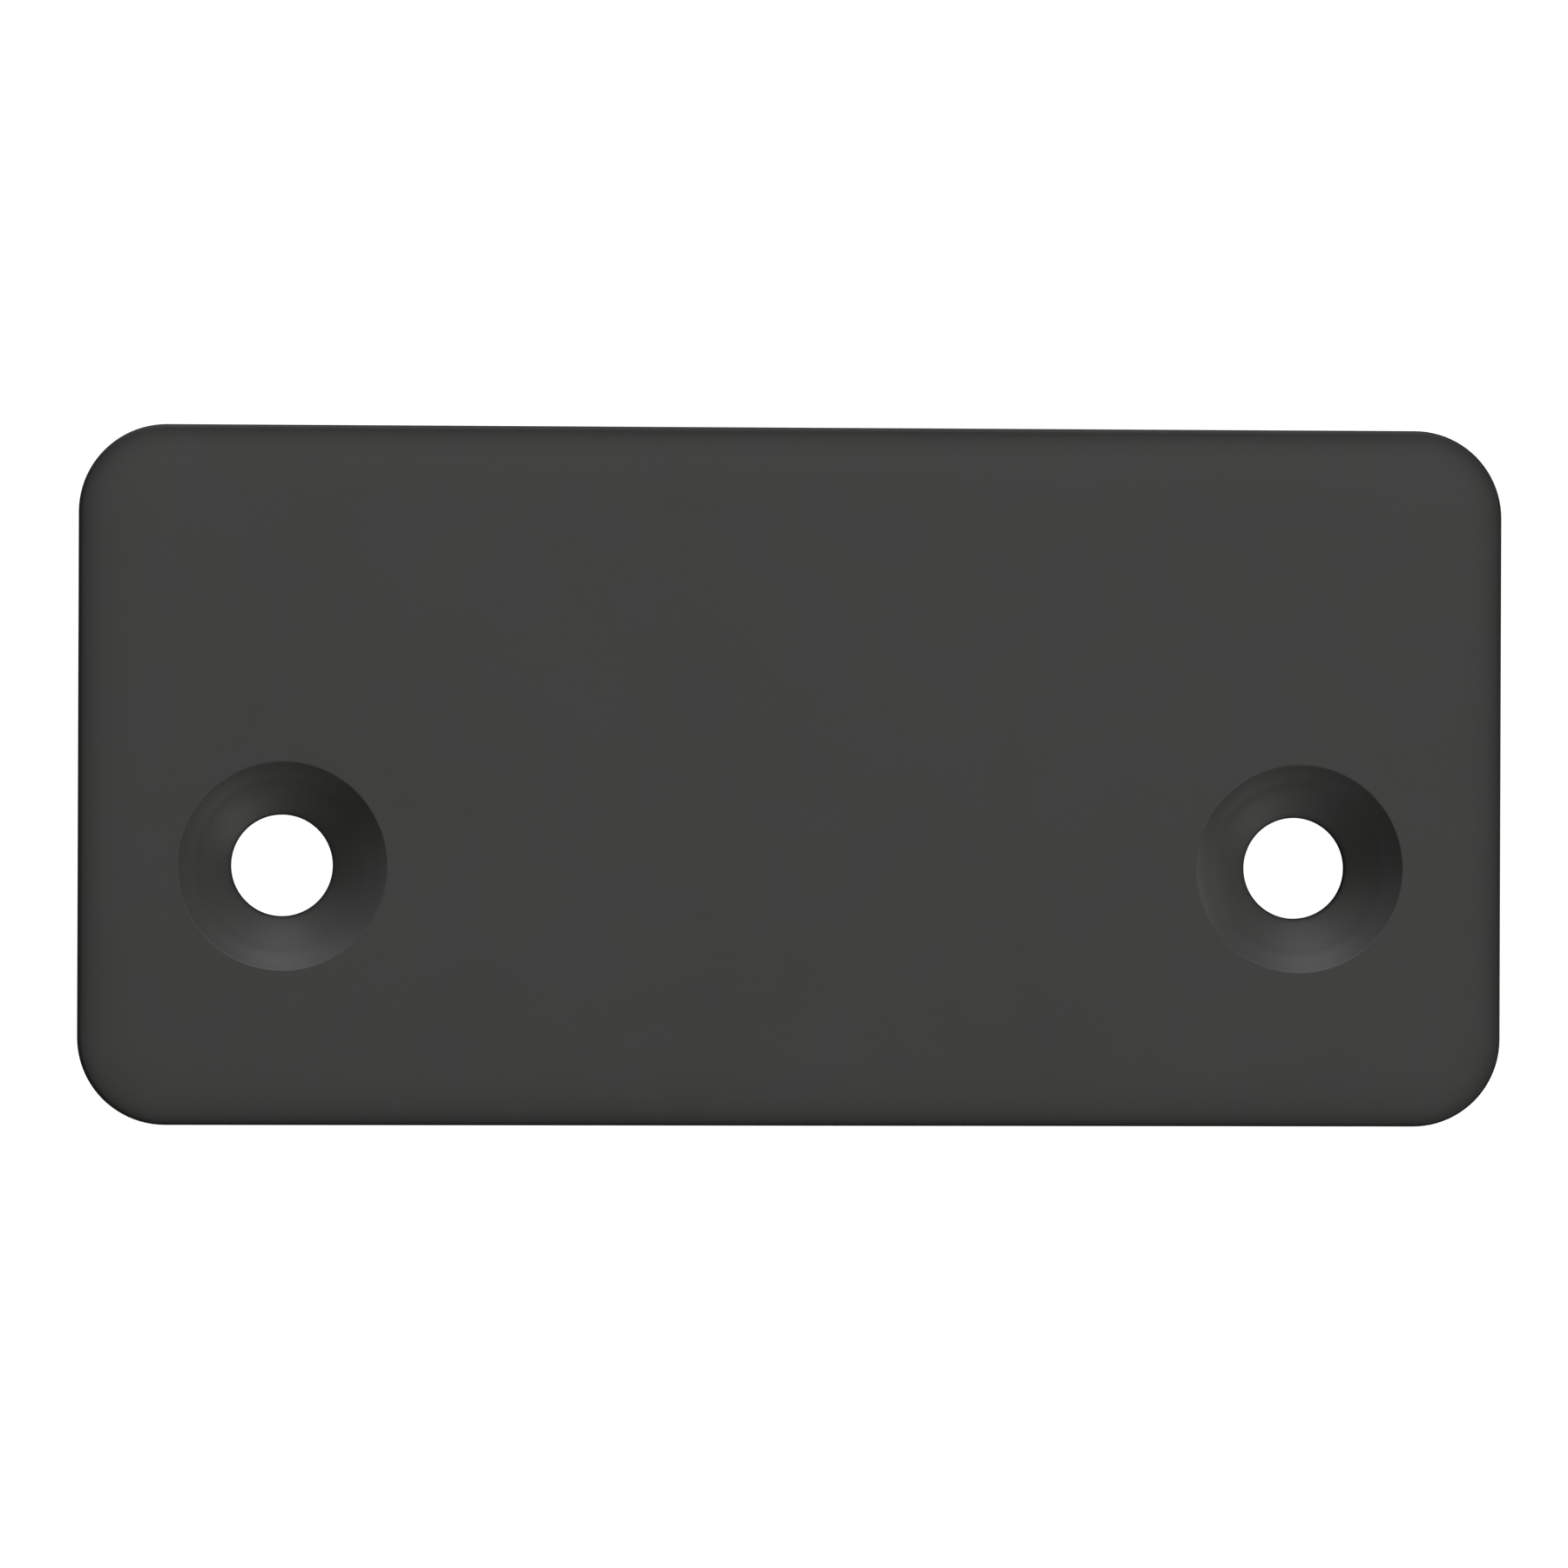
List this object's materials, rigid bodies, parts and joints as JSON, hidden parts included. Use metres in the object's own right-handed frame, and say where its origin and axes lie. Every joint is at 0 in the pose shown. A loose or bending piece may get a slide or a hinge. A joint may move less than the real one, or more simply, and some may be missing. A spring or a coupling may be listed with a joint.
{
  "type": "door hinge",
  "caption": "Overlay door hinge, shown closed: flat rounded cover leaf with countersunk holes, a slotted frame leaf behind it and a concealed knuckle with a locked pin.",
  "frame": {"origin": "centre of the frame leaf's two-slot pattern, on its mounting face", "axes": "+X along the hinge pin, +Y out of the mounting face towards the frame it is screwed to, +Z from the screw holes towards the pin; the cover leaf's visible face looks along -Y"},
  "size_m": [0.07, 0.015, 0.0343],
  "materials": {
    "powder_coat_black": "fine matte black powder coat on die-cast zinc",
    "powder_coat_black_frame": "fine matte black powder coat on die-cast zinc",
    "stainless_pin": "ground stainless steel",
    "bush_polymer": "natural acetal",
    "cap_plastic": "black moulded plastic",
    "screw_steel": "black oxide steel"
  },
  "bodies": {
    "frame": {"frame_leaf": "powder_coat_black_frame", "hinge_pin": "stainless_pin", "end_cap_left": "cap_plastic", "end_cap_right": "cap_plastic", "pin_lock_screw": "screw_steel"},
    "door_leaf": {"front_leaf": "powder_coat_black", "bush_left_outer": "bush_polymer", "bush_left_inner": "bush_polymer", "bush_right_inner": "bush_polymer", "bush_right_outer": "bush_polymer"}
  },
  "joints": [
    {"name": "hinge", "type": "hinge", "parent": "frame", "child": "door_leaf", "pos_m": [0, -0.0075, 0.0165], "axis": [-1, 0, 0], "range_deg": [0, 105]}
  ]
}
